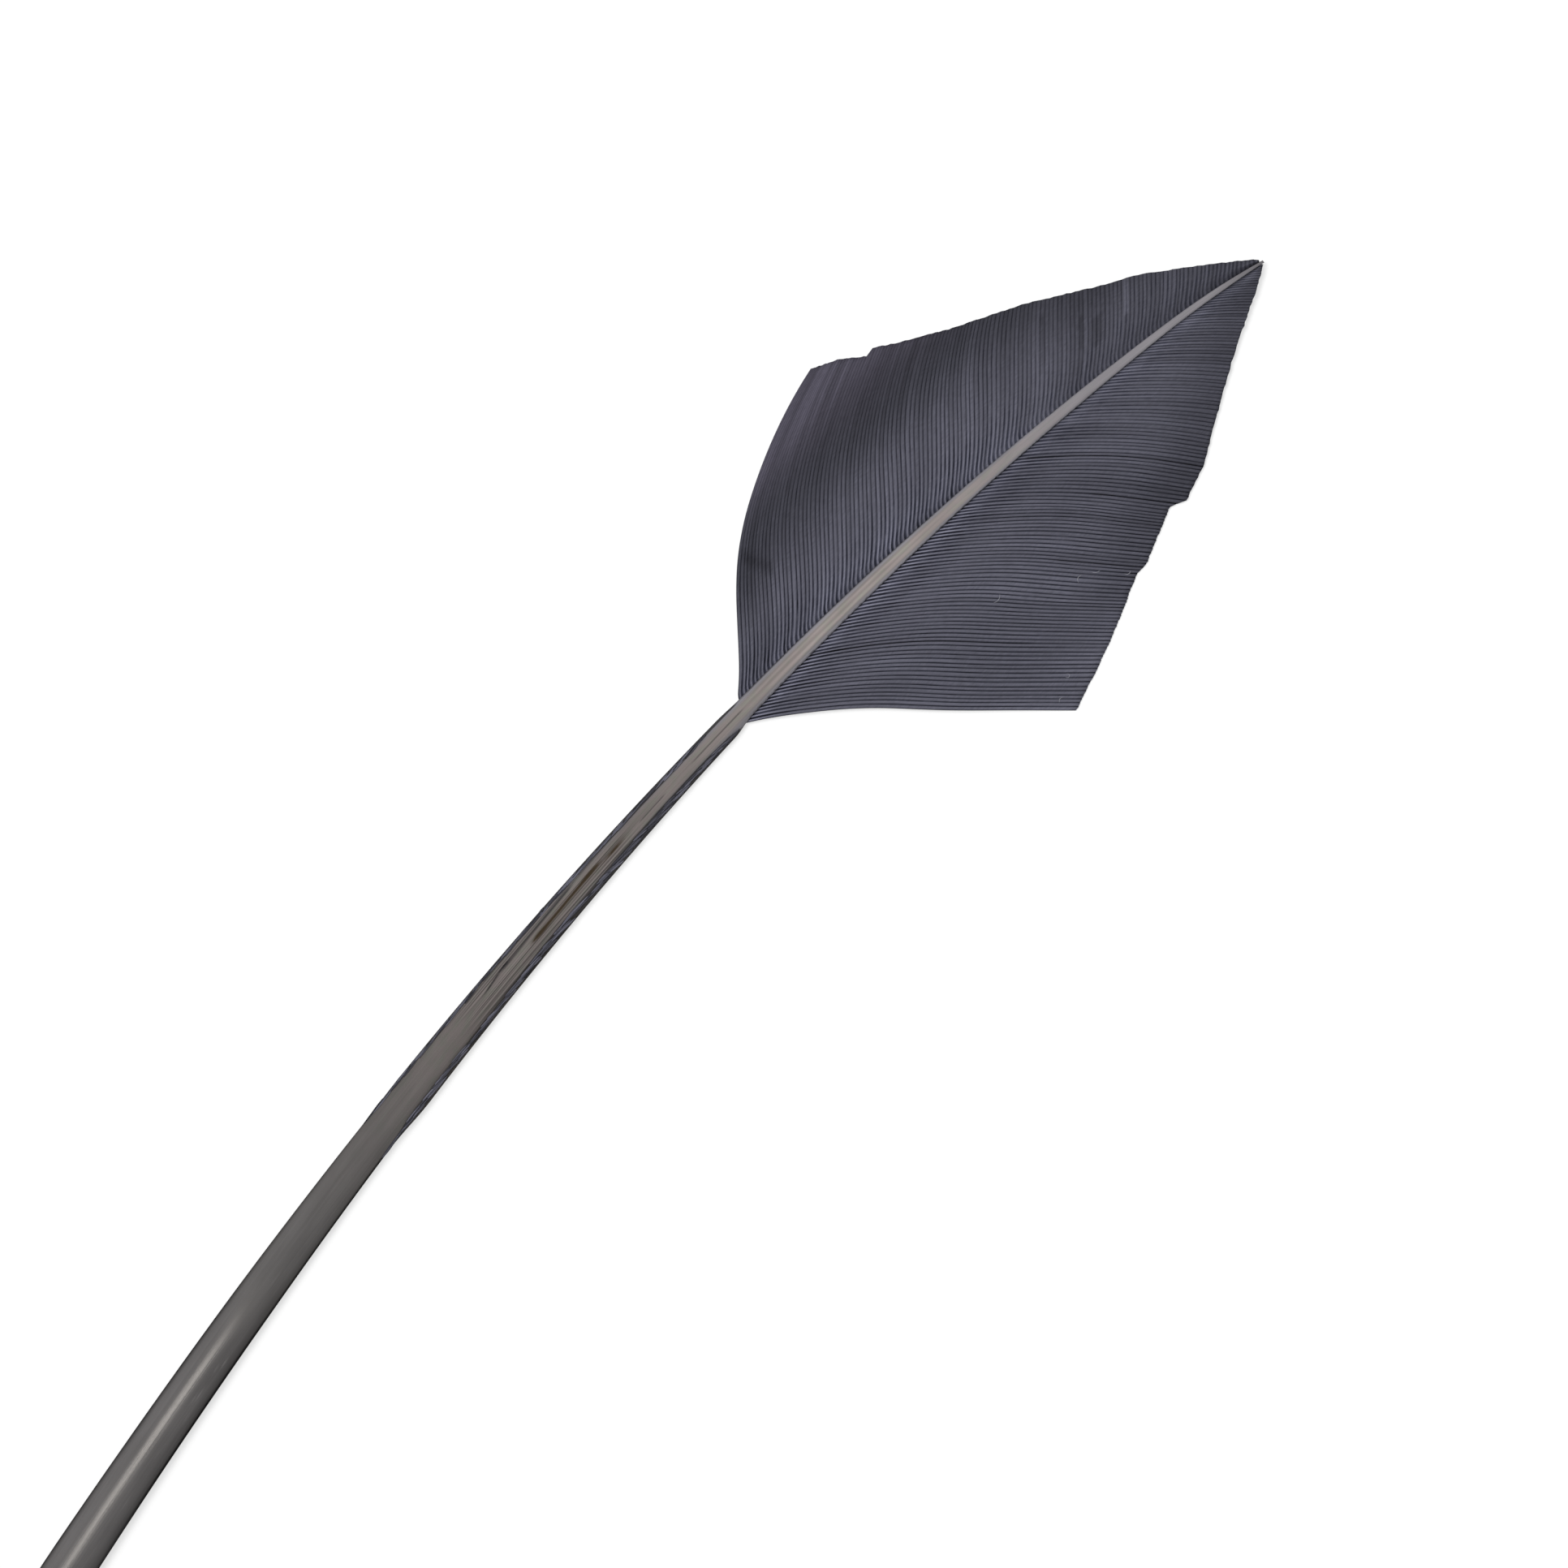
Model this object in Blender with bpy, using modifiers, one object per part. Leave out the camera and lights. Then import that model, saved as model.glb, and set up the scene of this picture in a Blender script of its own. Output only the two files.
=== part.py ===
"""A turkey quill feather with a bare stem and its vane trimmed to an arrowhead.

The feather lies with its under side up. Its straight line from the end of the quill
to the tip of the vane runs along +X, and its left vane is on the +Y side.
Every size is in millimetres and becomes metres where the meshes are made.
A station is a distance along the shaft's own bent centre line from the quill's end.
"""
import math

import bmesh
import bpy
import numpy as np
from mathutils import Vector

MM = 0.001
NAME = "feather"
COLOUR = (0.085, 0.082, 0.092, 1.0)
ROUGHNESS = 0.55
SHARP_DEGREES = 40.0

# The middle of the whole outline, which becomes the origin
MIDDLE = (131.43, 7.34)

# The centre line: straight first, then bending to the right ever more strongly
SHAFT_LENGTH = 264.6
STRAIGHT_LENGTH = 36.6
START_HEADING = 7.72
EVEN_BEND = 11.46
GROWING_BEND = 9.28

# The shaft's full width and its depth over its width, by station
SHAFT_WIDTHS = ((0.0, 2.2), (2.0, 3.0), (8.0, 4.4), (16.0, 5.6), (26.0, 6.3), (36.0, 6.4),
                (52.0, 6.0), (78.0, 5.45), (104.0, 4.7), (131.0, 3.9), (158.0, 3.1),
                (176.0, 2.6), (204.0, 2.1), (219.0, 1.75), (234.0, 1.45), (248.0, 1.05),
                (258.0, 0.8), (264.6, 0.35))
SHAFT_DEPTH_SHARES = ((0.0, 0.95), (60.0, 0.95), (131.0, 1.0), (176.0, 1.1), (264.6, 1.1))
BARREL_END = 36.0
BARREL_AXIS_HEIGHT = 3.04
RING_SIDES = 20
RING_SPACING = 7.0

# A section is round on the quill and grows squarer on the vane
QUILL_SQUARENESS = 2.0
VANE_SQUARENESS = 2.7
SQUARING_STATIONS = (95.0, 170.0)

# The groove along the shaft's under side, which faces up
GROOVE_DEPTH = 0.16
GROOVE_STATIONS = (138.0, 172.0)

# The strips of cut barb stubs on both flanks of the bare stem
STUB_STATIONS = (104.0, 112.0, 173.0, 177.0)
LEFT_STUB_WIDTH = 0.14
RIGHT_STUB_WIDTH = 0.42

# The vane: one ridge for each lock of barbs, in a thin sheet on each side
LEFT_VANE_START = 176.9
RIGHT_VANE_START = 175.0
VANE_END = 263.0
LOCKS_PER_SIDE = 60
COLUMNS = 6
SHEET_THICKNESS = 0.3
RIDGE_HEIGHT = 0.26
ROOT_INSIDE_SHARE = 0.2
FLANK_SHARE = 0.9
FLANK_HEIGHT_SHARE = 0.45
EDGE_HEIGHT = 0.42
CAMBER = 0.9
WALK_STEP = 0.2

# The tip curls up a little
LIFT_START_X = 216.0
LIFT_END_X = 263.0
TIP_LIFT = 2.2

# The heading of a barb in degrees by its own length from the shaft, left and right
LEFT_HEADINGS = ((0.0, 68.0), (0.4, 52.0), (0.9, 39.5), (1.5, 37.0), (3.0, 39.0), (5.0, 42.5),
                 (8.0, 44.5), (12.0, 44.5), (16.0, 39.5), (20.0, 32.0), (25.0, 25.0),
                 (31.0, 20.5), (37.0, 15.0), (44.0, 9.0))
RIGHT_HEADINGS = ((0.0, -33.0), (1.0, -35.5), (2.0, -37.0), (4.0, -39.0), (7.0, -41.0),
                  (10.0, -42.5), (15.0, -46.5), (20.0, -50.5), (25.0, -50.5), (30.0, -49.5),
                  (42.0, -48.0))
# Barbs nearer the tip turn by this much towards their right
TURN_STATIONS = (178.0, 235.0)
LEFT_TURN = -3.0
RIGHT_TURN = -7.5

# The two cut edges of the arrowhead, with the nicks the scissors left
LEFT_CUT = ((214.1, 34.7), (217.4, 32.8), (220.3, 30.2), (221.5, 30.4), (224.0, 28.5),
            (229.9, 24.5), (238.5, 19.5), (246.6, 13.7), (251.0, 10.9), (258.7, 4.3),
            (263.1, 0.1))
RIGHT_CUT = ((204.1, -19.8), (213.4, -17.3), (222.1, -14.2), (223.7, -14.3), (231.3, -11.7),
             (232.0, -11.9), (232.8, -12.9), (238.0, -11.5), (250.5, -5.4), (259.5, -1.7),
             (263.1, 0.0))


def value_at(table, position):
    """Read a table of (position, value) pairs, straight between its points."""
    positions, values = zip(*table)
    return float(np.interp(position, positions, values))


def ease(start, end, position):
    """Rise smoothly from 0 at start to 1 at end."""
    share = min(max((position - start) / (end - start), 0.0), 1.0)
    return share * share * (3.0 - 2.0 * share)


def heading_at(station):
    """Direction of the centre line in radians from +X."""
    share = max(station - STRAIGHT_LENGTH, 0.0) / (SHAFT_LENGTH - STRAIGHT_LENGTH)
    return math.radians(START_HEADING - EVEN_BEND * share - GROWING_BEND * share * share)


def trace_centre_line():
    """Points of the centre line at every half millimetre."""
    stations = np.arange(0.0, SHAFT_LENGTH + 0.5, 0.5)
    points = [(0.0, 0.0)]
    for before, after in zip(stations[:-1], stations[1:]):
        heading = heading_at((before + after) / 2)
        step = after - before
        x, y = points[-1]
        points.append((x + step * math.cos(heading), y + step * math.sin(heading)))
    return stations, np.array(points)


CENTRE_STATIONS, CENTRE_POINTS = trace_centre_line()


def centre_at(station):
    """Point of the centre line at a station."""
    x = float(np.interp(station, CENTRE_STATIONS, CENTRE_POINTS[:, 0]))
    y = float(np.interp(station, CENTRE_STATIONS, CENTRE_POINTS[:, 1]))
    return x, y


def beside(station, across):
    """Point at a distance to the left of the centre line."""
    x, y = centre_at(station)
    heading = heading_at(station)
    return x - across * math.sin(heading), y + across * math.cos(heading)


def lift_at(x):
    """Height that the curl of the tip adds."""
    share = max(x - LIFT_START_X, 0.0) / (LIFT_END_X - LIFT_START_X)
    return TIP_LIFT * share * share


def shaft_size(station):
    """Half width, half depth and height of the shaft's axis at a station."""
    half_width = value_at(SHAFT_WIDTHS, station) / 2
    half_depth = half_width * value_at(SHAFT_DEPTH_SHARES, station)
    axis_height = BARREL_AXIS_HEIGHT if station < BARREL_END else half_depth
    return half_width, half_depth, axis_height


def stub_width(station, side):
    """How far a flank's strip of barb stubs stands out."""
    start, full, fade, end = STUB_STATIONS
    share = ease(start, full, station) * (1.0 - ease(fade, end, station))
    width = LEFT_STUB_WIDTH if side > 0 else RIGHT_STUB_WIDTH
    return width * share


def shaft_ring(station):
    """One section of the shaft, counterclockwise as seen from the tip."""
    half_width, half_depth, axis_height = shaft_size(station)
    squaring = ease(*SQUARING_STATIONS, station)
    squareness = QUILL_SQUARENESS + (VANE_SQUARENESS - QUILL_SQUARENESS) * squaring
    groove = GROOVE_DEPTH * ease(*GROOVE_STATIONS, station)
    groove = min(groove, half_depth * 0.3)
    ring = []
    for number in range(RING_SIDES):
        angle = math.tau * number / RING_SIDES
        cosine = math.cos(angle)
        sine = math.sin(angle)
        across = half_width * math.copysign(abs(cosine) ** (2 / squareness), cosine)
        rise = half_depth * math.copysign(abs(sine) ** (2 / squareness), sine)
        if abs(cosine) > 0.99:
            across += math.copysign(stub_width(station, cosine), cosine)
        if sine > 0.99:
            rise -= groove
        x, y = beside(station, across)
        ring.append(Vector((x, y, axis_height + rise + lift_at(centre_at(station)[0]))))
    return ring


def shaft_stations():
    """Stations of the shaft's sections, close together where it tapers to its end."""
    quill_end = [station for station, width in SHAFT_WIDTHS[:5]]
    count = round((SHAFT_LENGTH - quill_end[-1]) / RING_SPACING)
    return quill_end + list(np.linspace(quill_end[-1], SHAFT_LENGTH, count + 1)[1:])


def to_metres(point):
    """A point of the working frame in metres from the origin of the part."""
    x, y, z = point
    return Vector((x - MIDDLE[0], y - MIDDLE[1], z)) * MM


def make_shaft(collection, material):
    """The quill and rachis as one loft through its sections, closed at both ends."""
    shape = bmesh.new()
    rings = []
    for station in shaft_stations():
        rings.append([shape.verts.new(to_metres(point)) for point in shaft_ring(station)])
    for ring, following in zip(rings[:-1], rings[1:]):
        for number in range(RING_SIDES):
            after = (number + 1) % RING_SIDES
            shape.faces.new((ring[number], ring[after], following[after], following[number]))
    shape.faces.new(reversed(rings[0]))
    shape.faces.new(rings[-1])
    bmesh.ops.recalc_face_normals(shape, faces=shape.faces)
    return add_object(NAME, shape, collection, material)


def barb_heading(side, station, length):
    """Direction of a barb in radians from +X at a length from the shaft."""
    table = LEFT_HEADINGS if side > 0 else RIGHT_HEADINGS
    turn = LEFT_TURN if side > 0 else RIGHT_TURN
    degrees = value_at(table, length) + turn * ease(*TURN_STATIONS, station)
    return math.radians(degrees)


def is_trimmed(side, x, y):
    """Whether the scissors took this place of the vane away."""
    if side > 0:
        return y > value_at(LEFT_CUT, x)
    return y < value_at(RIGHT_CUT, x)


def walk_barb(side, station):
    """Follow a barb from the shaft's flank to the cut edge."""
    half_width = shaft_size(station)[0]
    x, y = beside(station, side * half_width * FLANK_SHARE)
    points = [(x, y)]
    while not is_trimmed(side, x, y):
        length = WALK_STEP * (len(points) - 0.5)
        heading = barb_heading(side, station, length)
        x += WALK_STEP * math.cos(heading)
        y += WALK_STEP * math.sin(heading)
        points.append((x, y))
    return np.array(points)


def sheet_height(station, share):
    """Height of the middle of the vane's sheet, by the share of a barb's length."""
    half_depth = shaft_size(station)[1]
    root = 2 * half_depth * FLANK_HEIGHT_SHARE
    return root + (EDGE_HEIGHT - root) * share + CAMBER * 4 * share * (1.0 - share)


def vane_row(side, station, swell):
    """Points of one row from inside the shaft out to the cut edge."""
    path = walk_barb(side, station)
    inside = side * shaft_size(station)[0] * ROOT_INSIDE_SHARE
    x, y = beside(station, inside)
    row = [Vector((x, y, sheet_height(station, 0.0) + lift_at(x)))]
    for column in range(1, COLUMNS + 1):
        share = (column - 1) / (COLUMNS - 1)
        place = share * (len(path) - 1)
        x = float(np.interp(place, range(len(path)), path[:, 0]))
        y = float(np.interp(place, range(len(path)), path[:, 1]))
        ridge = swell if column > 1 else 0.0
        row.append(Vector((x, y, sheet_height(station, share) + ridge + lift_at(x))))
    return row


def vane_rows(side):
    """All rows of a vane, every other one on the crest of a ridge."""
    rows = []
    start = LEFT_VANE_START if side > 0 else RIGHT_VANE_START
    for number, station in enumerate(np.linspace(start, VANE_END, 2 * LOCKS_PER_SIDE + 1)):
        swell = RIDGE_HEIGHT / 2 if number % 2 else -RIDGE_HEIGHT / 2
        rows.append(vane_row(side, station, swell))
    return rows


def make_vane(side, name, collection, material):
    """One vane as a grid laid along its barbs, ridged and thickened, from inside the shaft."""
    rows = vane_rows(side)
    shape = bmesh.new()
    bmesh.ops.create_grid(shape, x_segments=len(rows) - 1, y_segments=COLUMNS, size=0.5)
    for corner in shape.verts:
        row = round((corner.co.x + 0.5) * (len(rows) - 1))
        column = round((corner.co.y + 0.5) * COLUMNS)
        corner.co = to_metres(rows[row][column])
    if side < 0:
        bmesh.ops.reverse_faces(shape, faces=shape.faces)
    vane = add_object(name, shape, collection, material)
    thickness = vane.modifiers.new("thickness", "SOLIDIFY")
    thickness.thickness = SHEET_THICKNESS * MM
    thickness.offset = 0.0
    vane.hide_render = True
    vane.display_type = "WIRE"
    return vane


def join(body, other):
    """Fuse another shape into the body."""
    union = body.modifiers.new("join " + other.name, "BOOLEAN")
    union.operation = "UNION"
    union.solver = "EXACT"
    union.object = other


def add_object(name, shape, collection, material):
    """Turn a finished bmesh into an object of the collection."""
    mesh = bpy.data.meshes.new(name)
    shape.to_mesh(mesh)
    shape.free()
    mesh.shade_smooth()
    mesh.set_sharp_from_angle(angle=math.radians(SHARP_DEGREES))
    mesh.materials.append(material)
    thing = bpy.data.objects.new(name, mesh)
    collection.objects.link(thing)
    return thing


def make_material():
    """Slate-grey dyed feather."""
    material = bpy.data.materials.new("dyed feather")
    material.use_nodes = True
    surface = material.node_tree.nodes["Principled BSDF"]
    surface.inputs["Base Color"].default_value = COLOUR
    surface.inputs["Roughness"].default_value = ROUGHNESS
    surface.inputs["Metallic"].default_value = 0.0
    return material


def new_collection(name):
    """A collection in the scene."""
    collection = bpy.data.collections.new(name)
    bpy.context.scene.collection.children.link(collection)
    return collection


def main():
    """Build the feather in an emptied scene."""
    for old in list(bpy.data.objects):
        bpy.data.objects.remove(old, do_unlink=True)
    material = make_material()
    parts = new_collection("turkey quill feather")
    joined = new_collection("joined shapes")
    feather = make_shaft(parts, material)
    join(feather, make_vane(1, "left vane", joined, material))
    join(feather, make_vane(-1, "right vane", joined, material))


main()
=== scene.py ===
"""The looks of the turkey quill feather: its shaft, every barb and the cut stubs.

Lengths are in millimetres in the part's working frame, which starts at the end of the
quill and runs along +X to the tip of the vane. A station is a distance along the shaft's
bent centre line, across is a distance to the left of that line, and side is 1 for the
left vane and -1 for the right one. Shades are brightness from 0 to 255 as the eye sees it.
"""

import math

import bpy
import numpy as np
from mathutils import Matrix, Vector, noise


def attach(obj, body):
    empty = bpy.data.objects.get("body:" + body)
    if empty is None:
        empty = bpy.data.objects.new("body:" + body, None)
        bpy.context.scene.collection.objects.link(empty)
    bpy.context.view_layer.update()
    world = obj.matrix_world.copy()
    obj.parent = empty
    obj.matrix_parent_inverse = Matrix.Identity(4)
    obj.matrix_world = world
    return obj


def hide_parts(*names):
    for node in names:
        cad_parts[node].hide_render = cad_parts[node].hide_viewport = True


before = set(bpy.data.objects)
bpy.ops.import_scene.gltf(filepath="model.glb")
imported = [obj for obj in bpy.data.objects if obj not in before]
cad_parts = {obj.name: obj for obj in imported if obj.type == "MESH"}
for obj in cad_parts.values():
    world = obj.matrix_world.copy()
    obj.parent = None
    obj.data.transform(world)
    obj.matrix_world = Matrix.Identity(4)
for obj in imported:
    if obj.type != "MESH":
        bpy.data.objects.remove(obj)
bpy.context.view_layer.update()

MM = 0.001

# Distance between the points of the traced centre line
CENTRE_STEP = 0.5

# The part's own values, repeated from its source
MIDDLE = (131.43, 7.34)
SHAFT_LENGTH = 264.6
STRAIGHT_LENGTH = 36.6
START_HEADING = 7.72
EVEN_BEND = 11.46
GROWING_BEND = 9.28
SHAFT_WIDTHS = ((0.0, 2.2), (2.0, 3.0), (8.0, 4.4), (16.0, 5.6), (26.0, 6.3), (36.0, 6.4),
                (52.0, 6.0), (78.0, 5.45), (104.0, 4.7), (131.0, 3.9), (158.0, 3.1),
                (176.0, 2.6), (204.0, 2.1), (219.0, 1.75), (234.0, 1.45), (248.0, 1.05),
                (258.0, 0.8), (264.6, 0.35))
SHAFT_DEPTH_SHARES = ((0.0, 0.95), (60.0, 0.95), (131.0, 1.0), (176.0, 1.1), (264.6, 1.1))
BARREL_END = 36.0
BARREL_AXIS_HEIGHT = 3.04
QUILL_SQUARENESS = 2.0
VANE_SQUARENESS = 2.7
SQUARING_STATIONS = (95.0, 170.0)
STUB_STATIONS = (104.0, 112.0, 173.0, 177.0)
LEFT_STUB_WIDTH = 0.14
RIGHT_STUB_WIDTH = 0.42
LEFT_VANE_START = 176.9
RIGHT_VANE_START = 175.0
FLANK_SHARE = 0.9
FLANK_HEIGHT_SHARE = 0.45
EDGE_HEIGHT = 0.42
CAMBER = 0.9
LIFT_START_X = 216.0
LIFT_END_X = 263.0
TIP_LIFT = 2.2
LEFT_HEADINGS = ((0.0, 68.0), (0.4, 52.0), (0.9, 39.5), (1.5, 37.0), (3.0, 39.0), (5.0, 42.5),
                 (8.0, 44.5), (12.0, 44.5), (16.0, 39.5), (20.0, 32.0), (25.0, 25.0),
                 (31.0, 20.5), (37.0, 15.0), (44.0, 9.0))
RIGHT_HEADINGS = ((0.0, -33.0), (1.0, -35.5), (2.0, -37.0), (4.0, -39.0), (7.0, -41.0),
                  (10.0, -42.5), (15.0, -46.5), (20.0, -50.5), (25.0, -50.5), (30.0, -49.5),
                  (42.0, -48.0))
TURN_STATIONS = (178.0, 235.0)
LEFT_TURN = -3.0
RIGHT_TURN = -7.5
LEFT_CUT = ((214.1, 34.7), (217.4, 32.8), (220.3, 30.2), (221.5, 30.4), (224.0, 28.5),
            (229.9, 24.5), (238.5, 19.5), (246.6, 13.7), (251.0, 10.9), (258.7, 4.3),
            (263.1, 0.1))
RIGHT_CUT = ((204.1, -19.8), (213.4, -17.3), (222.1, -14.2), (223.7, -14.3), (231.3, -11.7),
             (232.0, -11.9), (232.8, -12.9), (238.0, -11.5), (250.5, -5.4), (259.5, -1.7),
             (263.1, 0.0))

# The shaft's last part bends on to the right by this much
DRIFT_STATIONS = (249.0, 264.6)
TIP_DRIFT = 0.62

# Barbs: their spacing by station, the step they are walked by, the station that the seams
# reach, the longest walk, and the rings of mesh points, which crowd toward the root
LEFT_PITCH = ((176.0, 0.68), (199.0, 0.755), (214.0, 0.71), (228.0, 0.735), (242.0, 0.685),
              (263.0, 0.63))
RIGHT_PITCH = ((176.0, 0.74), (198.0, 0.79), (210.0, 0.725), (236.0, 0.715), (245.0, 0.65),
               (263.0, 0.59))
BARB_STEP = 0.125
LAST_SEAM = 263.8
LONGEST_BARB = 47.0
BARB_RINGS = 50
RING_CROWDING = 1.25
# A barb's section as share of its strip's width and height from the sheet's middle
BARB_SECTION = ((-0.04, -0.14), (0.06, -0.10), (0.18, -0.02), (0.32, 0.06), (0.48, 0.085),
                (0.64, 0.07), (0.80, 0.0), (0.93, -0.10), (1.04, -0.15), (0.75, -0.19),
                (0.50, -0.20), (0.25, -0.18))
# Seams this far apart give a barb its full height; closer ones and faint furrows give less
FULL_SPACING = 0.5
LEAST_SPACING_SHARE = 0.15
LEAST_CREST = 0.12
# How blunt the right barbs end, which makes the cut edge a fine saw, and up to where
BLUNT_RIGHT = 0.18
BLUNT_STATIONS = (214.0, 222.0)
SHORTEST_BARB = 0.3
# How uneven the barbs are in spacing, cut end and shade, and in heading by degrees
SEAM_SPREAD = 0.045
END_SPREAD = 0.02
TONE_SPREAD = 0.035
WANDER = 1.6
VANE_SEED = 20

# Shades of the vanes by length along a barb, and how much they change with the station
# The light left shades at the root are painted light against the rachis's shadow, and their rise far
# out is painted sheen
LEFT_SHADES = ((0.0, 84.0), (0.4, 88.0), (0.9, 98.0), (2.0, 99.0), (5.0, 89.0), (8.0, 84.0),
               (10.5, 82.0), (13.6, 75.0), (16.6, 66.0), (19.6, 59.0), (24.0, 57.0),
               (28.6, 64.0), (31.6, 70.0), (34.6, 73.0), (44.0, 76.0))
LEFT_EARLINESS = ((176.0, 5.0), (186.0, 2.2), (192.0, 0.0), (216.0, 0.0), (227.0, 2.0),
                  (234.0, 4.5), (241.0, 6.5), (262.0, 6.5))
LEFT_STATION_SHADES = ((176.0, 1.0), (183.0, 1.02), (227.0, 1.0), (236.0, 0.95),
                       (248.0, 0.91), (262.0, 0.86))
# The light right shades at the root are painted light against the rachis's shadow
RIGHT_SHADES = ((0.0, 84.0), (0.3, 92.0), (0.7, 108.0), (1.6, 108.0), (3.0, 90.0), (5.0, 82.0),
                (12.0, 81.0), (17.0, 79.0), (22.0, 77.0), (30.0, 77.0), (36.0, 81.0),
                (44.0, 89.0))
RIGHT_STATION_SHADES = ((176.0, 1.01), (195.0, 1.05), (206.0, 1.04), (213.0, 0.99),
                        (220.0, 0.93), (226.0, 0.99), (240.0, 1.0), (248.0, 0.99),
                        (262.0, 0.97))
# How much darker the right vane gets toward its cut edge, over which width and from where
RIGHT_EDGE_FALL = 11.0
RIGHT_EDGE_WIDTH = 9.0
RIGHT_EDGE_STATIONS = (191.0, 200.0)
# How much dimmer the painted light at the right barbs' roots is toward the tip, from where and how
# far out
ROOT_DIMMING = 0.1
DIMMING_STATIONS = (213.0, 226.0)
DIMMING_LENGTHS = (1.5, 4.5)
# Uneven dye: shares of the shade in patches and streaks
PATCHES = 0.055
STREAKS = 0.08
# Depth of the furrows between barbs and of their dark colour, partly the barbs' own and partly
# painted shade, 1 at its strongest
LEFT_FURROWS = ((0.0, 0.8), (3.0, 0.76), (8.0, 0.74), (14.0, 0.62), (18.0, 0.5),
                (22.0, 0.28), (27.0, 0.16), (44.0, 0.14))
RIGHT_FURROWS = ((0.0, 1.15), (3.0, 0.95), (8.0, 0.85), (20.0, 0.88), (44.0, 0.9))
STATION_FURROWS = ((176.0, 1.05), (213.0, 1.0), (222.0, 0.8), (232.0, 0.6), (262.0, 0.55))
# How much longer and shorter breaks in a furrow change its depth
LONG_BREAKS = 0.48
SHORT_BREAKS = 0.45
# Painted sheen of the left barbs' outer parts, a lighter lilac colour and streaks: where it comes
# up, and where its streaks do
SHEEN_LENGTHS = (18.0, 30.0)
SHEEN_STREAK_LENGTHS = (24.0, 31.0)
SHEEN_STREAKS = 9.0
# Splits between barbs, darkened with painted shade: their depth, and side, station of the root,
# first and last length
SPLIT_DEPTH = 0.2
SPLITS = ((-1, 223.4, 2.0, 25.5), (-1, 216.8, 15.5, 27.0), (-1, 203.0, 21.0, 32.0),
          (-1, 187.3, 0.4, 28.0))
# Barbs of an odd shade: side, station of the root and spread, first and last length, change
ODD_BARBS = ((1, 243.1, 0.35, 5.6, 9.9, 22.0), (1, 238.4, 0.9, 4.6, 7.8, -13.0),
             (1, 235.8, 0.4, 5.6, 9.4, -11.0), (1, 229.4, 0.5, 7.5, 13.5, -8.0))
# A crease across the left barbs: station and length, and how much darker its painted shade makes it
CREASE = ((177.8, 17.9), (183.4, 12.4))
CREASE_PAINTED_SHADE = 12.0

# From here on, a reach is a first and a last station and the length of the fade beyond.

# Shaft mesh and its shades by station and by share of the half width
SHAFT_STEP = 0.5
SHAFT_SIDES = 144
# How much closer the mesh points stand in the middle of the top and of the flanks
SIDE_EVENING = 0.5
# Length over which the corners of the table of widths are rounded, and the reach of it
SMOOTHING = 9.0
SMOOTH_REACH = (30.0, 252.0, 18.0)
SHAFT_SHADES = ((0.0, 97.0), (36.0, 102.0), (62.0, 101.0), (85.0, 91.0), (105.0, 92.0),
                (117.0, 98.0), (130.0, 98.0), (150.0, 100.0), (160.0, 110.0), (170.0, 121.0),
                (180.0, 138.0), (190.0, 149.0), (205.0, 147.0), (212.0, 139.0), (219.0, 133.0),
                (228.0, 134.0), (245.0, 135.0), (258.0, 131.0), (264.0, 116.0))
# Across the barrel: painted shading, lighter on the left where the light falls, darker toward the
# right and at both edges
BARREL_PAINTED_SHADES = ((-1.0, 0.76), (-0.75, 0.84), (-0.55, 0.92), (-0.3, 0.92), (-0.05, 0.93),
                      (0.2, 0.95), (0.4, 0.99), (0.6, 1.04), (0.8, 1.04), (0.9, 0.9), (1.0, 0.78))
# Across the lined rachis: its pale and dark lines of colour, with painted light on the right flank,
# which the light misses, and painted shade on the left one
RACHIS_LINES_AND_PAINTED_LIGHT = ((-1.0, 1.25), (-0.95, 1.25), (-0.87, 1.14), (-0.79, 1.06), (-0.68, 0.95),
                      (-0.56, 0.9), (-0.42, 1.0), (-0.3, 1.02), (-0.12, 0.92), (0.0, 0.88),
                      (0.12, 0.92), (0.25, 0.99), (0.33, 0.95), (0.42, 0.88), (0.5, 0.84),
                      (0.58, 0.87), (0.68, 0.94), (0.79, 1.0), (0.86, 0.95), (0.95, 0.75),
                      (1.0, 0.6))
# Across the plain rachis toward the tip: painted light on its edges, most on the right flank, which
# the light misses
PLAIN_RACHIS_PAINTED_LIGHT = ((-1.0, 1.05), (-0.9, 1.14), (-0.75, 1.08), (-0.6, 1.02), (0.0, 1.0),
                       (0.6, 1.0), (0.8, 1.07), (0.92, 1.05), (1.0, 0.92))
# Stations over which the look of the barrel, of the lined and of the plain rachis changes
BARREL_SHADES_END = (75.0, 112.0)
RACHIS_SHADES_START = (172.0, 182.0)
PLAIN_SHADES_START = (198.0, 220.0)
# Painted shade, a dark line along each edge of the quill: side shares over which it darkens,
# and stations over which it grows and ends
PAINTED_EDGE_SHADE = 34.0
RIGHT_LINE = (-0.86, -0.96)
RIGHT_LINE_START = (40.0, 56.0)
RIGHT_LINE_END = (112.0, 126.0)
RIGHT_LINE_LEAST = 0.45
LEFT_LINE = (0.9, 0.98)
LEFT_LINE_END = (100.0, 112.0)
LEFT_LINE_STRENGTH = 0.35
UNDERSIDE_SHADE = 88.0
# Sines round the shaft over which the upper side's relief and its shades come in
RELIEF_SINES = (0.0, 0.4)
SHADE_SINES = (-0.12, 0.0)
# How closely the ledge of stubs keeps to the flank
LEDGE_POWER = 8
# Scratches on the barrel: station, across, half length and change of shade
SCRATCHES = ((69.4, -1.6, 0.7, 22.0), (68.2, -1.15, 0.6, 18.0), (64.2, -1.35, 0.8, 24.0),
             (63.4, -1.05, 0.6, 16.0), (60.8, -1.7, 0.8, 14.0), (55.0, -1.2, 1.2, 10.0),
             (74.2, 0.5, 1.4, 9.0), (47.5, -1.4, 1.0, 9.0), (82.0, -0.6, 1.6, 8.0))
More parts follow.
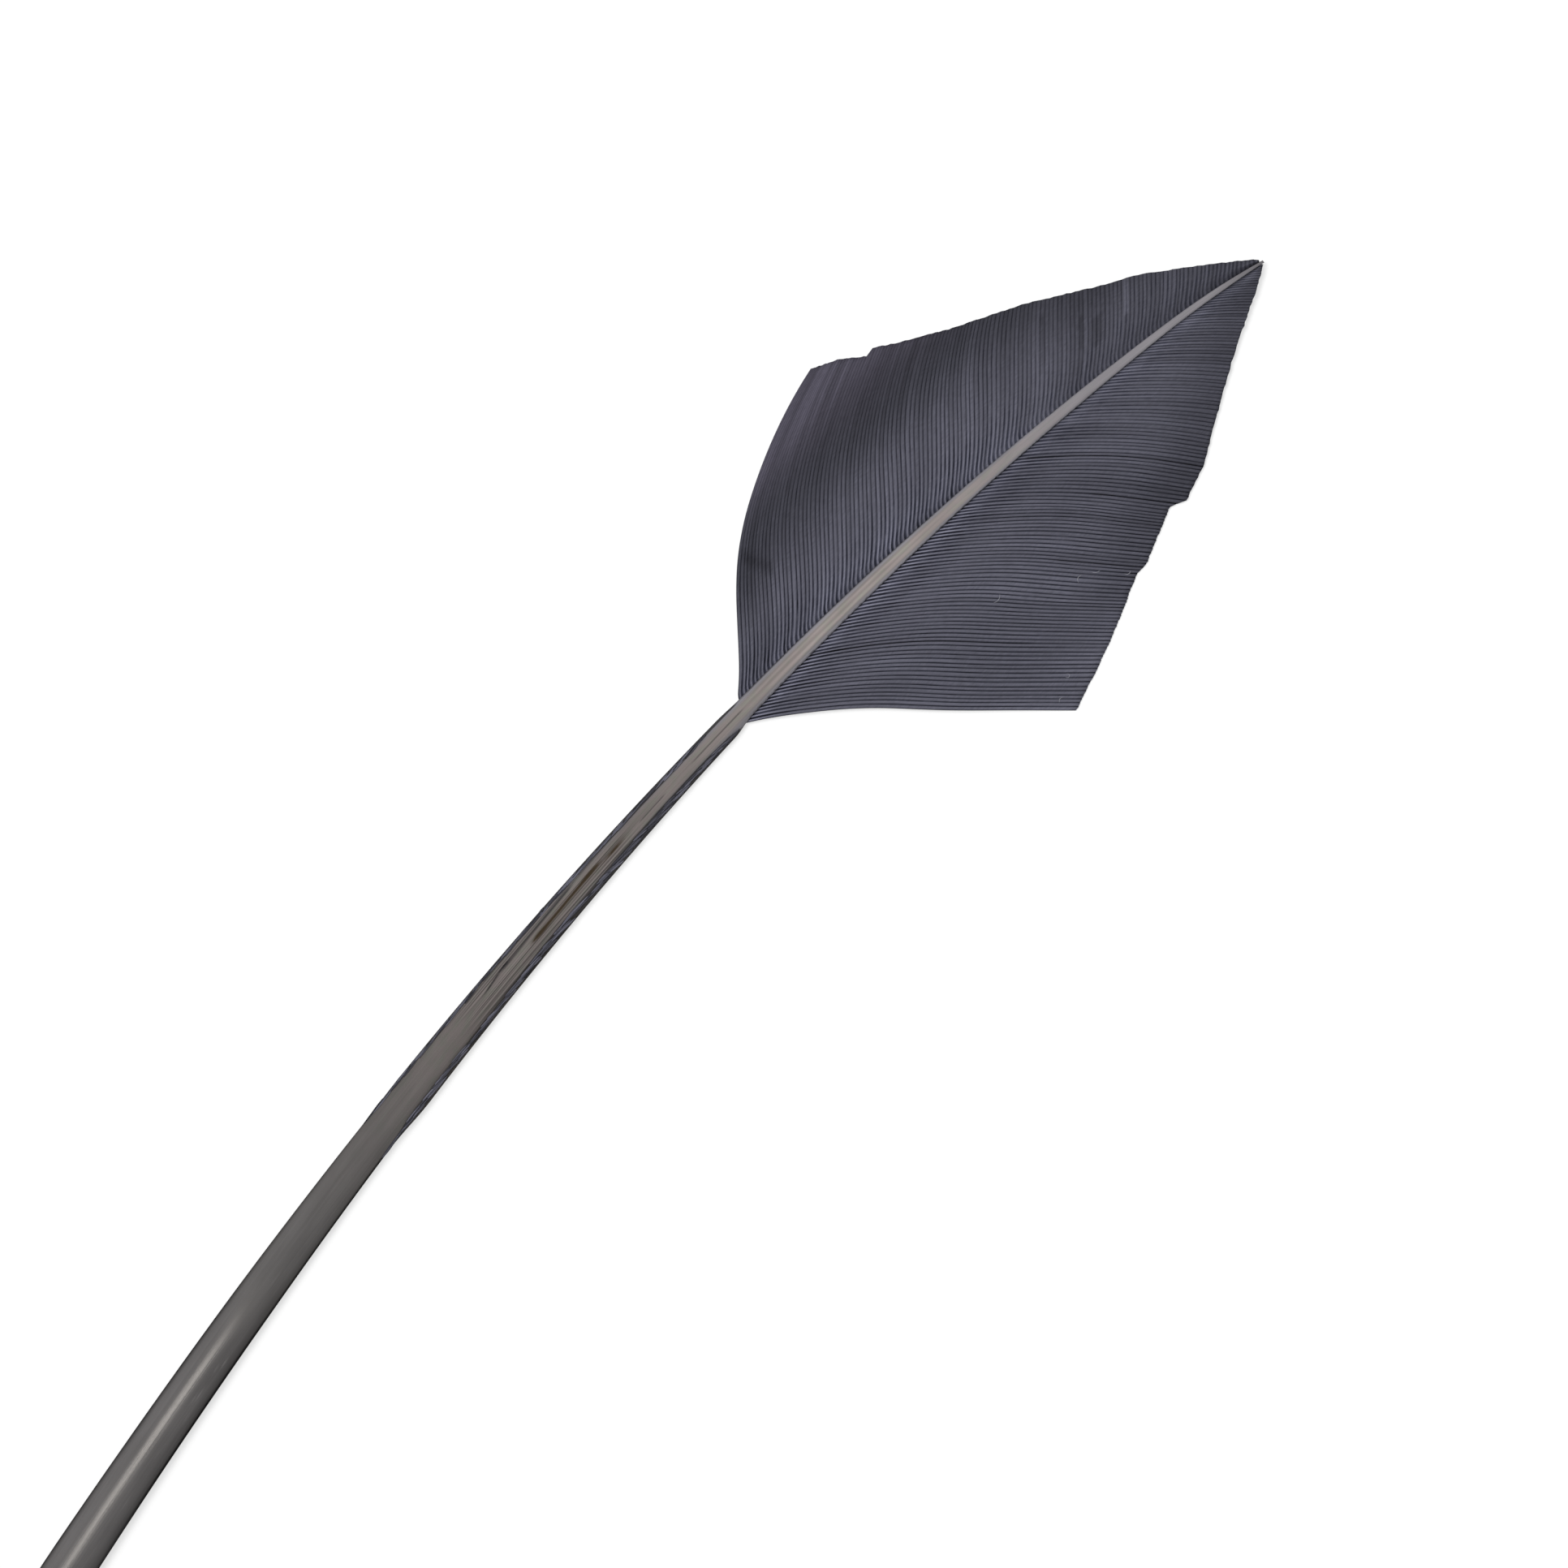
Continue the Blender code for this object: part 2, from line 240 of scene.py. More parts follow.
# Inner edges of the two dark strips of barb stubs: station and across
LEFT_STRIP = ((106.0, 2.2), (110.0, 2.02), (120.0, 1.77), (130.0, 1.68), (136.0, 1.5),
              (145.0, 1.32), (155.0, 1.1), (165.0, 0.96), (168.2, 0.97), (169.4, 1.13),
              (176.6, 1.1))
RIGHT_STRIP = ((104.0, -2.1), (110.0, -1.72), (120.0, -1.65), (130.0, -1.45), (136.0, -1.22),
               (145.0, -1.1), (155.0, -0.93), (165.0, -0.9), (169.0, -0.93), (172.5, -1.08),
               (174.3, -1.25))
LEFT_STRIP_REACH = (107.0, 175.8, 0.8)
RIGHT_STRIP_REACH = (105.5, 174.0, 1.0)
STRIP_FADE = 0.04
STRIP_SHADE = 60.0
# Barb stubs: their spacing and last station by side, and how far before the strip's start
# and before that last station the first and the last one grow
STUB_PITCH = {1: 0.7, -1: 0.45}
STUB_RINGS = 9
STUB_END = {1: 170.6, -1: 174.3}
STUB_LEAD = 1.5
STUB_ROOM = 2.4
# Ranges of the stubs' shift, length, lane at the root as a share of the strip, further way
# outward, width, height above the shaft, and shade
STUB_SHIFTS = (-0.25, 0.25)
STUB_LENGTHS = (1.6, 3.6)
STUB_LANES = (0.08, 0.66)
STUB_DRIFTS = (0.1, 0.36)
STUB_WIDTHS = (0.18, 0.28)
STUB_RISES = (0.01, 0.06)
STUB_SHADES = (50.0, 112.0)
STUB_SEED = 7
# Share of the ledge under the stubs, and the part of a half turn that shapes their taper
STUB_LEDGE_SHARE = 0.8
STUB_TAPER = (0.12, 0.95)
# A stub's section: share of its width, and height in its middle
STUB_SECTION = ((-0.5, 0.0), (-0.25, 0.06), (0.1, 0.075), (0.5, 0.0), (0.0, -0.05))
# Lint on the right vane: station and length along the barb under it, heading, own length
# and bend; then its mesh, its radius, its height above the barbs, and its taper
LINT = ((195.2, 18.9, 5.0, 1.5, 50.0), (200.2, 25.5, 15.0, 1.3, -70.0),
        (201.4, 27.0, -35.0, 1.1, 40.0), (201.6, 31.0, -20.0, 1.0, 60.0),
        (181.2, 37.9, 30.0, 1.1, 140.0), (177.2, 39.4, 10.0, 0.8, -60.0))
LINT_RINGS = 9
LINT_SIDES = 6
LINT_RADIUS = 0.035
LINT_RISE = 0.1
LINT_TAPER = (0.05, 0.95)
# Lengthwise marks of the stem: station and across
SLIT_LINE = ((126.5, 0.45), (131.5, 0.95))
FLAP_LINE = ((131.0, 0.95), (145.0, 1.2))
STAIN_LINE = ((135.5, 0.06), (142.0, 0.11), (148.5, 0.27))
# Relief of the stem: reaches, depths or heights, and half widths
GROOVE_REACH = (150.0, 186.0, 12.0)
GROOVE_DEPTH = 0.07
GROOVE_WIDTH = 0.16
SLIT_REACH = (127.0, 131.3, 0.8)
SLIT_DEPTH = 0.3
SLIT_WIDTH = 0.07
FLAP_REACH = (131.8, 143.0, 1.8)
FLAP_HEIGHT = 0.1
# Trough beside the flap: its depth, and its place from the flap's edge and half width
TROUGH_DEPTH = 0.13
TROUGH_PLACE = (-0.16, 0.14)
STAIN_DIP_REACH = (136.5, 148.0, 1.5)
STAIN_DIP = 0.07
STAIN_DIP_WIDTH = 0.09
# Short creases of the stem: reach and across, and their depth and the darkness of their painted
# shade
STEM_CREASES = (((168.0, 175.5, 1.5), 0.05), ((157.5, 161.0, 1.0), -0.12))
STEM_CREASE_DEPTH = 0.05
STEM_CREASE_PAINTED_SHADE = 0.7
# Colours of the marks, the black in the slit and beside the flap painted shade, the brown a stain:
# reaches, strengths, and places and half widths
SLIT_MARK_REACH = (128.0, 132.0, 0.9)
SLIT_MARK_WIDTH = 0.09
TROUGH_MARK_REACH = (131.8, 144.0, 1.5)
TROUGH_MARK_PLACE = (-0.18, 0.15)
TROUGH_PAINTED_SHADOW = 0.8
STAIN_REACH = (137.2, 148.5, 1.6)
STAIN_STRENGTH = 1.1
STAIN_WIDTH = 0.17
STAIN_HALO_REACH = (137.5, 153.0, 2.0)
STAIN_HALO_PLACE = (0.1, 0.42)
STAIN_HALO = 0.22
# Blots of the brown stain: station and half length, across and half width
STAIN_BLOTS = ((138.0, 1.1, 0.08, 0.2), (147.4, 1.0, 0.26, 0.19), (152.0, 1.4, -0.06, 0.16))
# Fine relief of the shaft, and how much more of it there is on the stem
SHAFT_GRAIN = 0.006
STEM_GRAIN = 0.014
STEM_GRAIN_REACH = (122.0, 155.0, 12.0)
COARSE_REACH = (127.0, 151.0, 6.0)
# Stations over which the horn turns taupe and loses its gloss
TAUPE_STATIONS = (85.0, 130.0)
MATT_STATIONS = (62.0, 92.0)
# Cool colour by the rachis's edges and, less strong, all over toward the tip
COOL_SHARES = (0.4, 0.85)
COOL_STATIONS = (120.0, 176.0)
COOL_TIP = 0.8
COOL_TIP_STATIONS = (208.0, 242.0)
# Notched edges of the rachis: side shares, how much narrower the left one is, and stations
RIM_SHARES = (0.78, 0.92)
LEFT_RIM = 0.93
RIM_STATIONS = (174.0, 180.0)
# How far UVs go for a millimetre along and across
SHAFT_UV = (0.01, 0.1)
BARB_UV = (0.02, 0.01)

# The picture's square frame and how the feather lies in it
PICTURE_SIZE = 1932.0
PIXELS_PER_MM = 9.6
FEATHER_TILT = 48.83
PICTURE_MIDDLE = (171.95, 2.12)
CAMERA_HEIGHT = 1800.0
SENSOR = 36.0
# Lights, in metres and watts: right and up of the picture's middle, size and power
LIGHT_HEIGHT = 1.45
SKYLIGHT = (-0.2, 0.2, 0.35, 11.5)
WINDOW = (-0.3, 0.3, 0.5, 9.3)
SURROUND_STRENGTH = 0.45
# How many times brighter than its base colour a matt surface looks on the stage
STAGE_LIGHT = 1.33
# The table's own brightness, and light that it gives itself, which keeps shadows faint
FLOOR_BRIGHTNESS = 0.32
FLOOR_GLOW = 0.63
FLOOR_SIZE = 6.0


def value_at(table, position):
    """Read a table of (position, value) pairs, straight between its points."""
    positions, values = zip(*table)
    return np.interp(position, positions, values)


def ease(start, end, position):
    """Rise smoothly from 0 at start to 1 at end."""
    share = np.clip((np.asarray(position, float) - start) / (end - start), 0.0, 1.0)
    return share * share * (3.0 - 2.0 * share)


def between(start, end, fade, position):
    """1 from start to end, fading to 0 over fade on both sides."""
    return ease(start - fade, start, position) * (1.0 - ease(end, end + fade, position))


def bell(position, centre, width):
    """A soft bell of height 1."""
    return np.exp(-((position - centre) / width) ** 2)


def brightness(shade):
    """Base brightness of a surface that is to look like a shade from 0 to 255."""
    share = np.asarray(shade, float) / 255.0
    return ((share + 0.055) / 1.055) ** 2.4 / STAGE_LIGHT


def tint(red, green, blue):
    """Colour with the hue of three shades, as bright as a middle grey of 1."""
    channels = brightness((red, green, blue))
    return (*(channels / channels[1]), 1.0)


def heading_at(station):
    """Direction of the centre line in radians from +X."""
    share = np.maximum(station - STRAIGHT_LENGTH, 0.0) / (SHAFT_LENGTH - STRAIGHT_LENGTH)
    return np.radians(START_HEADING - EVEN_BEND * share - GROWING_BEND * share * share)


def trace_centre_line():
    """Stations and places of points along the centre line."""
    stations = np.arange(0.0, SHAFT_LENGTH + CENTRE_STEP, CENTRE_STEP)
    steps = np.diff(stations)
    headings = heading_at((stations[1:] + stations[:-1]) / 2)
    x = np.concatenate(([0.0], np.cumsum(steps * np.cos(headings))))
    y = np.concatenate(([0.0], np.cumsum(steps * np.sin(headings))))
    return stations, x, y


CENTRE_STATIONS, CENTRE_X, CENTRE_Y = trace_centre_line()


def beside(station, across):
    """Points at a distance to the left of the centre line."""
    x = np.interp(station, CENTRE_STATIONS, CENTRE_X)
    y = np.interp(station, CENTRE_STATIONS, CENTRE_Y)
    heading = heading_at(station)
    share = np.maximum(station - DRIFT_STATIONS[0], 0.0) / (DRIFT_STATIONS[1] - DRIFT_STATIONS[0])
    across = across - TIP_DRIFT * share * share
    return x - across * np.sin(heading), y + across * np.cos(heading)


def lift_at(x):
    """Height that the curl of the tip adds."""
    share = np.maximum(x - LIFT_START_X, 0.0) / (LIFT_END_X - LIFT_START_X)
    return TIP_LIFT * share * share


def round_widths():
    """The shaft's widths along the centre line, with the table's corners rounded."""
    widths = value_at(SHAFT_WIDTHS, CENTRE_STATIONS)
    count = int(SMOOTHING / CENTRE_STEP)
    padded = np.concatenate((np.full(count, widths[0]), widths, np.full(count, widths[-1])))
    window = np.hanning(count + 2)[1:-1]
    rounded = np.convolve(padded, window / window.sum(), mode="same")[count:-count]
    return widths + (rounded - widths) * between(*SMOOTH_REACH, CENTRE_STATIONS)


ROUND_WIDTHS = round_widths()


def half_width_at(station):
    """Half of the shaft's width."""
    return np.interp(station, CENTRE_STATIONS, ROUND_WIDTHS) / 2


def half_depth_at(station):
    """Half of the shaft's depth."""
    return half_width_at(station) * value_at(SHAFT_DEPTH_SHARES, station)


def axis_height_at(station):
    """Height of the shaft's axis."""
    return np.where(station < BARREL_END, BARREL_AXIS_HEIGHT, half_depth_at(station))


def section_power(station):
    """Power of cosine and sine that squares the shaft's section."""
    squaring = ease(*SQUARING_STATIONS, station)
    return 2.0 / (QUILL_SQUARENESS + (VANE_SQUARENESS - QUILL_SQUARENESS) * squaring)


def ledge_width(side, station):
    """How far the strip of stubs stands out from the shaft's flank."""
    first, full, last, end = STUB_STATIONS
    width = np.where(side > 0, LEFT_STUB_WIDTH, RIGHT_STUB_WIDTH)
    return width * ease(first, full, station) * (1.0 - ease(last, end, station))


def to_metres(x, y, z):
    """Arrays of the working frame as points in metres in the part's frame."""
    points = np.stack(np.broadcast_arrays(x - MIDDLE[0], y - MIDDLE[1], z), axis=-1)
    return points.reshape(-1, 3) * MM


def uv_grid(along, across):
    """UVs of mesh points from two arrays that fit together."""
    return np.stack(np.broadcast_arrays(along, across), axis=-1).reshape(-1, 2)


def section_rows(section):
    """A section's places across and its heights, each as one row."""
    return np.array(section).T[:, None, :]


def spindle(share, taper):
    """Thickness of a body that narrows toward both ends, 1 at its thickest."""
    first, last = taper
    return np.sqrt(np.sin(np.pi * (first + (last - first) * share)))


def ripple(first, second, layer):
    """Smooth noise from about -1 to 1 over two arrays that are scaled to its grain."""
    first, second = np.broadcast_arrays(first, second)
    pairs = zip(first.ravel(), second.ravel())
    values = [noise.noise(Vector((a, b, layer))) for a, b in pairs]
    return np.array(values).reshape(first.shape)


# Mesh pieces

def tube_faces(rings, sides, flipped):
    """Faces of a closed tube with rings of equal size and a face on each end."""
    index = np.arange(rings * sides).reshape(rings, sides)
    after = np.roll(index, -1, axis=1)
    quads = np.stack((index[:-1], after[:-1], after[1:], index[1:]), axis=-1)
    faces = quads.reshape(-1, 4).tolist() + [index[0, ::-1].tolist(), index[-1].tolist()]
    return [face[::-1] for face in faces] if flipped else faces


def repeat_faces(faces, parts, points_each):
    """The same faces for a range of equal parts, one after another."""
    return [[corner + part * points_each for corner in face] for part in parts for face in faces]


def make_piece(name, points, faces, attributes, uv, material):
    """A smooth mesh piece with its attributes, which replaces the solid feather."""
    mesh = bpy.data.meshes.new(name)
    mesh.from_pydata(points.tolist(), [], faces)
    for label, values in attributes.items():
        layer = mesh.attributes.new(label, "FLOAT", "POINT")
        layer.data.foreach_set("value", np.asarray(values, dtype=np.float32).ravel())
    corners = np.empty(len(mesh.loops), dtype=np.int32)
    mesh.loops.foreach_get("vertex_index", corners)
    layer = mesh.uv_layers.new(name="along")
    layer.data.foreach_set("uv", uv[corners].astype(np.float32).ravel())
    mesh.materials.append(material)
    mesh.shade_smooth()
    mesh.update()
    piece = bpy.data.objects.new(name, mesh)
    bpy.context.scene.collection.objects.link(piece)
    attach(piece, "root")
    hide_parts("feather")


# Shaft

def stem_creases(station, across, width):
    """The stem's short creases, 1 along their middles."""
    creases = 0.0
    for reach, line in STEM_CREASES:
        creases = creases + between(*reach, station) * bell(across, line, width)
    return creases


def shaft_relief(station, across, half_width):
    """Height that the groove, creases, slit, flap and stain add to the shaft's upper side."""
    groove = GROOVE_DEPTH * between(*GROOVE_REACH, station) * bell(across, 0.0, GROOVE_WIDTH)
    crease = STEM_CREASE_DEPTH * stem_creases(station, across, 0.05)
    slit = SLIT_DEPTH * between(*SLIT_REACH, station)
    slit *= bell(across, value_at(SLIT_LINE, station), SLIT_WIDTH)
    from_flap = across - value_at(FLAP_LINE, station)
    flap_length = between(*FLAP_REACH, station)
    flap = ease(-0.03, 0.03, from_flap) * (1.0 - ease(0.25, 0.6, from_flap))
    flap *= FLAP_HEIGHT * flap_length
    trough = TROUGH_DEPTH * flap_length * bell(from_flap, *TROUGH_PLACE)
    stain = STAIN_DIP * between(*STAIN_DIP_REACH, station)
    stain *= bell(across, value_at(STAIN_LINE, station), STAIN_DIP_WIDTH)
    inside = ease(0.0, 0.25, half_width - np.abs(across))
    return inside * (flap - groove - crease - slit - trough - stain)


def strip_share(station, across):
    """Where the shaft is covered by the dark strips of stubs."""
    left = ease(-STRIP_FADE, STRIP_FADE, across - value_at(LEFT_STRIP, station))
    left *= between(*LEFT_STRIP_REACH, station)
    right = ease(-STRIP_FADE, STRIP_FADE, value_at(RIGHT_STRIP, station) - across)
    right *= between(*RIGHT_STRIP_REACH, station)
    return np.clip(left + right, 0.0, 1.0)


def shaft_shade(station, across, side_share):
    """Shade of the shaft's upper side, with painted shading across the barrel, painted light on the
    rachis's flanks and painted shade along the quill's edges.
    """
    shade = value_at(SHAFT_SHADES, station)
    barrel = 1.0 - ease(*BARREL_SHADES_END, station)
    shade = shade * (1.0 + barrel * (value_at(BARREL_PAINTED_SHADES, side_share) - 1.0))
    lined = value_at(RACHIS_LINES_AND_PAINTED_LIGHT, side_share)
    plain = value_at(PLAIN_RACHIS_PAINTED_LIGHT, side_share)
    rachis_share = lined + (plain - lined) * ease(*PLAIN_SHADES_START, station)
    rachis = ease(*RACHIS_SHADES_START, station)
    shade = shade * (1.0 + rachis * (rachis_share - 1.0))
    # Painted shade: the dark lines along the quill's edges
    right_edge_shade = ease(*RIGHT_LINE, side_share) * (1.0 - ease(*RIGHT_LINE_END, station))
    growth = ease(*RIGHT_LINE_START, station)
    right_edge_shade *= RIGHT_LINE_LEAST + (1.0 - RIGHT_LINE_LEAST) * growth
    left_edge_shade = ease(*LEFT_LINE, side_share) * (1.0 - ease(*LEFT_LINE_END, station))
    left_edge_shade *= LEFT_LINE_STRENGTH
    shade = shade + (PAINTED_EDGE_SHADE - shade) * (right_edge_shade + left_edge_shade)
    for place, line, half_length, change in SCRATCHES:
        shade = shade + change * bell(station, place, half_length) * bell(across, line, 0.07)
    return shade + (STRIP_SHADE - shade) * strip_share(station, across)


def shaft_marks(station, across):
    """Masks of the brown stains and of the black lines on the stem, which are painted shade in the
    slit, the trough beside the flap and the creases.
    """
    stain = STAIN_STRENGTH * between(*STAIN_REACH, station)
    stain *= bell(across, value_at(STAIN_LINE, station), STAIN_WIDTH)
    for place, half_length, line, half_width in STAIN_BLOTS:
        stain += bell(station, place, half_length) * bell(across, line, half_width)
    halo = between(*STAIN_HALO_REACH, station) * bell(across, *STAIN_HALO_PLACE)
    stain += STAIN_HALO * halo
    slit = between(*SLIT_MARK_REACH, station)
    slit *= bell(across, value_at(SLIT_LINE, station), SLIT_MARK_WIDTH)
    from_flap = across - value_at(FLAP_LINE, station)
    trough = TROUGH_PAINTED_SHADOW * between(*TROUGH_MARK_REACH, station)
    trough *= bell(from_flap, *TROUGH_MARK_PLACE)
    crease = STEM_CREASE_PAINTED_SHADE * stem_creases(station, across, 0.07)
    return np.clip(stain, 0.0, 1.0), np.clip(slit + trough + crease, 0.0, 1.0)


def rachis_edge(station, side_share):
    """How cool the rachis's colour is, by its edges and all over toward the tip."""
    by_edge = ease(*COOL_SHARES, np.abs(side_share)) * ease(*COOL_STATIONS, station)
    return np.maximum(by_edge, COOL_TIP * ease(*COOL_TIP_STATIONS, station))


def notched_rim(station, cosine, side_share):
    """The rachis's edges, notched by the barbs' roots, a little narrower on the left."""
    share = np.where(cosine < 0, 1.0, LEFT_RIM) * np.abs(side_share)
    return ease(*RIM_SHARES, share) * ease(*RIM_STATIONS, station)


def make_shaft(material):
    """Quill and rachis in one closed skin."""
    stations = np.linspace(0.0, SHAFT_LENGTH, round(SHAFT_LENGTH / SHAFT_STEP) + 1)
    angles = np.arange(SHAFT_SIDES) * math.tau / SHAFT_SIDES
    angles = angles - SIDE_EVENING * np.sin(4.0 * angles) / 4.0
    station, angle = np.meshgrid(stations, angles, indexing="ij")
    half_width = half_width_at(station)
    power = section_power(station)
    cosine = np.cos(angle)
    sine = np.sin(angle)
    side_share = np.sign(cosine) * np.abs(cosine) ** power
    across = half_width * side_share
    rise = half_depth_at(station) * np.sign(sine) * np.abs(sine) ** power
    upper = ease(*RELIEF_SINES, sine)
    relief = upper * shaft_relief(station, across, half_width)
    grain = SHAFT_GRAIN + STEM_GRAIN * between(*STEM_GRAIN_REACH, station)
    relief += upper * grain * ripple(station * 0.03, across * 7.0, 3.1)
    z = np.maximum(axis_height_at(station) + rise + relief, 0.0)
    shade = shaft_shade(station, across, side_share)
    seen = ease(*SHADE_SINES, sine)
    shade = shade * seen + UNDERSIDE_SHADE * (1.0 - seen)
    stain, dark = shaft_marks(station, across)
    ledge = ledge_width(np.sign(cosine), station) * np.abs(cosine) ** LEDGE_POWER
    x, y = beside(station, across + np.sign(cosine) * ledge)
    z = z + lift_at(beside(station, 0.0)[0])
    attributes = {
        "level": brightness(shade),
        "stain": stain * upper,
        "dark": dark * upper,
        "rachis": ease(*TAUPE_STATIONS, station),
        "edge": rachis_edge(station, side_share),
        "rim": notched_rim(station, cosine, side_share),
        "grain": upper * between(*COARSE_REACH, station),
        "matt": ease(*MATT_STATIONS, station),
    }
    uv = uv_grid(station * SHAFT_UV[0], across * SHAFT_UV[1])
    faces = tube_faces(len(stations), SHAFT_SIDES, flipped=True)
    make_piece("shaft", to_metres(x, y, z), faces, attributes, uv, material)


# Vanes

def is_trimmed(side, x, y):
    """Which places of the vane the scissors took away."""
    return y > value_at(LEFT_CUT, x) if side > 0 else y < value_at(RIGHT_CUT, x)


def seam_stations(side, random):
    """Stations of the seams between the barbs, from the vane's base to its tip."""
    stations = [LEFT_VANE_START if side > 0 else RIGHT_VANE_START]
    pitch = LEFT_PITCH if side > 0 else RIGHT_PITCH
    while stations[-1] < LAST_SEAM:
        stations.append(stations[-1] + value_at(pitch, stations[-1]))
    stations = np.array(stations)
    stations[1:-1] += random.normal(0.0, SEAM_SPREAD, len(stations) - 2)
    return stations


def walk_seams(side, stations):
    """Places along the seam beside each barb, untrimmed, by seam and by step."""
    headings = LEFT_HEADINGS if side > 0 else RIGHT_HEADINGS
    turn = (LEFT_TURN if side > 0 else RIGHT_TURN) * ease(*TURN_STATIONS, stations)
    x, y = beside(stations, side * half_width_at(stations) * FLANK_SHARE)
    xs, ys = [x], [y]
    for step in range(int(LONGEST_BARB / BARB_STEP)):
        length = (step + 0.5) * BARB_STEP
        wander = WANDER * ease(2.0, 8.0, length) * ripple(stations * 0.16, length * 0.09, side * 2.3)
        heading = np.radians(value_at(headings, length) + turn + wander)
        x = x + BARB_STEP * np.cos(heading)
        y = y + BARB_STEP * np.sin(heading)
        xs.append(x)
        ys.append(y)
    return np.array(xs).T, np.array(ys).T


def trim_lengths(side, xs, ys):
    """Length at which each seam meets the cut edge."""
    first_outside = np.argmax(is_trimmed(side, xs, ys), axis=1)
    return np.maximum(first_outside, 3) * BARB_STEP


def sheet_height(station, share):
    """Height of the middle of the vane's sheet, by the share of a barb's length."""
    root = 2 * half_depth_at(station) * FLANK_HEIGHT_SHARE
    return root + (EDGE_HEIGHT - root) * share + CAMBER * 4 * share * (1.0 - share)


def odd_shade(side, station, length):
    """What single odd barbs and the crease's painted shade add to the shade."""
    change = np.zeros_like(length)
    for odd_side, root, spread, first, last, amount in ODD_BARBS:
        if odd_side == side:
            odd = bell(station, root, spread) * between(first, last, 0.6, length)
            change = change + amount * odd
    if side > 0:
        creased = between(CREASE[0][0], CREASE[-1][0], 0.5, station)
        change = change - CREASE_PAINTED_SHADE * creased * bell(length, value_at(CREASE, station), 0.8)
    return change


def split_share(side, stations, seam, length):
    """How far a seam is opened by one of the dark splits."""
    share = np.zeros_like(length)
    for split_side, root, first, last in SPLITS:
        if split_side == side:
            split_seam = np.argmin(np.abs(stations - root))
            share = share + (seam == split_seam) * between(first, last, 1.2, length)
    return share


def vane_shade(side, station, length, to_edge):
    """Shade of the vane before its furrows."""
    if side > 0:
        shade = value_at(LEFT_SHADES, length + value_at(LEFT_EARLINESS, station))
        shade = shade * value_at(LEFT_STATION_SHADES, station)
        # Painted sheen: lighter streaks along the outer parts of the left barbs
        streaked = ease(*SHEEN_STREAK_LENGTHS, length)
        shade = shade + SHEEN_STREAKS * streaked * ripple(station * 0.9, length * 0.03, 4.4)
    else:
        shade = value_at(RIGHT_SHADES, length) * value_at(RIGHT_STATION_SHADES, station)
        by_edge = 1.0 - ease(0.0, RIGHT_EDGE_WIDTH, to_edge)
        shade = shade - RIGHT_EDGE_FALL * ease(*RIGHT_EDGE_STATIONS, station) * by_edge
        by_root = 1.0 - ease(*DIMMING_LENGTHS, length)
        shade = shade * (1.0 - ROOT_DIMMING * ease(*DIMMING_STATIONS, station) * by_root)
    patches = PATCHES * ripple(station * 0.11, length * 0.13, side * 6.1)
    streaks = STREAKS * ripple(station * 0.55, length * 0.06, side * 9.7)
    return shade * (1.0 + patches + streaks) + odd_shade(side, station, length)


def furrow_depth(side, station, length, seam):
    """How deep the furrow along a seam is, and how dark its colour, partly painted shade."""
    depth = value_at(LEFT_FURROWS if side > 0 else RIGHT_FURROWS, length)
    depth = depth * value_at(STATION_FURROWS, station)
    long_breaks = LONG_BREAKS * ripple(seam * 7.7, length * 0.3, side * 1.7)
    short_breaks = SHORT_BREAKS * ripple(seam * 5.3, length * 1.3, side * 8.2)
    return depth * (1.0 + long_breaks + short_breaks)


def seam_gap(near_x, near_y, far_x, far_y):
    """Distance between two seams, square to the nearer one."""
    along_x = np.gradient(near_x, axis=0)
    along_y = np.gradient(near_y, axis=0)
    size = np.maximum(np.hypot(along_x, along_y), 1e-6)
    return np.abs((far_x - near_x) * along_y - (far_y - near_y) * along_x) / size


def make_barb(side, barb, stations, xs, ys, ends, random):
    """Points, attributes and UVs of one barb, a closed blade between two seams."""
    over, profile = section_rows(BARB_SECTION)
    places = (np.linspace(0.0, 1.0, BARB_RINGS) ** RING_CROWDING)[:, None]
    over, places = np.broadcast_arrays(over, places)
    tone = 1.0 + TONE_SPREAD * random.normal()
    blunt = BLUNT_RIGHT * (1.0 - ease(*BLUNT_STATIONS, stations[barb])) if side < 0 else 0.0
    end = ends[barb] + (ends[barb + 1] - ends[barb]) * (over + (0.5 - over) * blunt)
    end = np.maximum(end - END_SPREAD * abs(random.normal()), SHORTEST_BARB)
    length = places * end
    steps = np.arange(xs.shape[1]) * BARB_STEP
    near_x, near_y = (np.interp(length, steps, track[barb]) for track in (xs, ys))
    far_x, far_y = (np.interp(length, steps, track[barb + 1]) for track in (xs, ys))
    x = near_x + (far_x - near_x) * over
    y = near_y + (far_y - near_y) * over
    station = stations[barb] + (stations[barb + 1] - stations[barb]) * over
    nearest_seam = barb + (over > 0.5)
    furrow = furrow_depth(side, station, length, nearest_seam)
    spacing_share = seam_gap(near_x, near_y, far_x, far_y) / FULL_SPACING
    crest = np.clip(spacing_share, LEAST_SPACING_SHARE, 1.0)
    crest = crest * (LEAST_CREST + (1.0 - LEAST_CREST) * np.clip(furrow, 0.0, 1.0))
    split = split_share(side, stations, nearest_seam, length)
    dip = SPLIT_DEPTH * split * np.abs(over - 0.5)
    z = sheet_height(station, places) + lift_at(x) + profile * crest - dip
    attributes = {
        "over": over,
        "level": brightness(vane_shade(side, station, length, end - length) * tone),
        "furrow": furrow,
        "split": split,
        "length": length,
        "sheen": ease(*SHEEN_LENGTHS, length) * (side > 0),
    }
    return to_metres(x, y, z), attributes, uv_grid(length * BARB_UV[0], (barb + over) * BARB_UV[1])


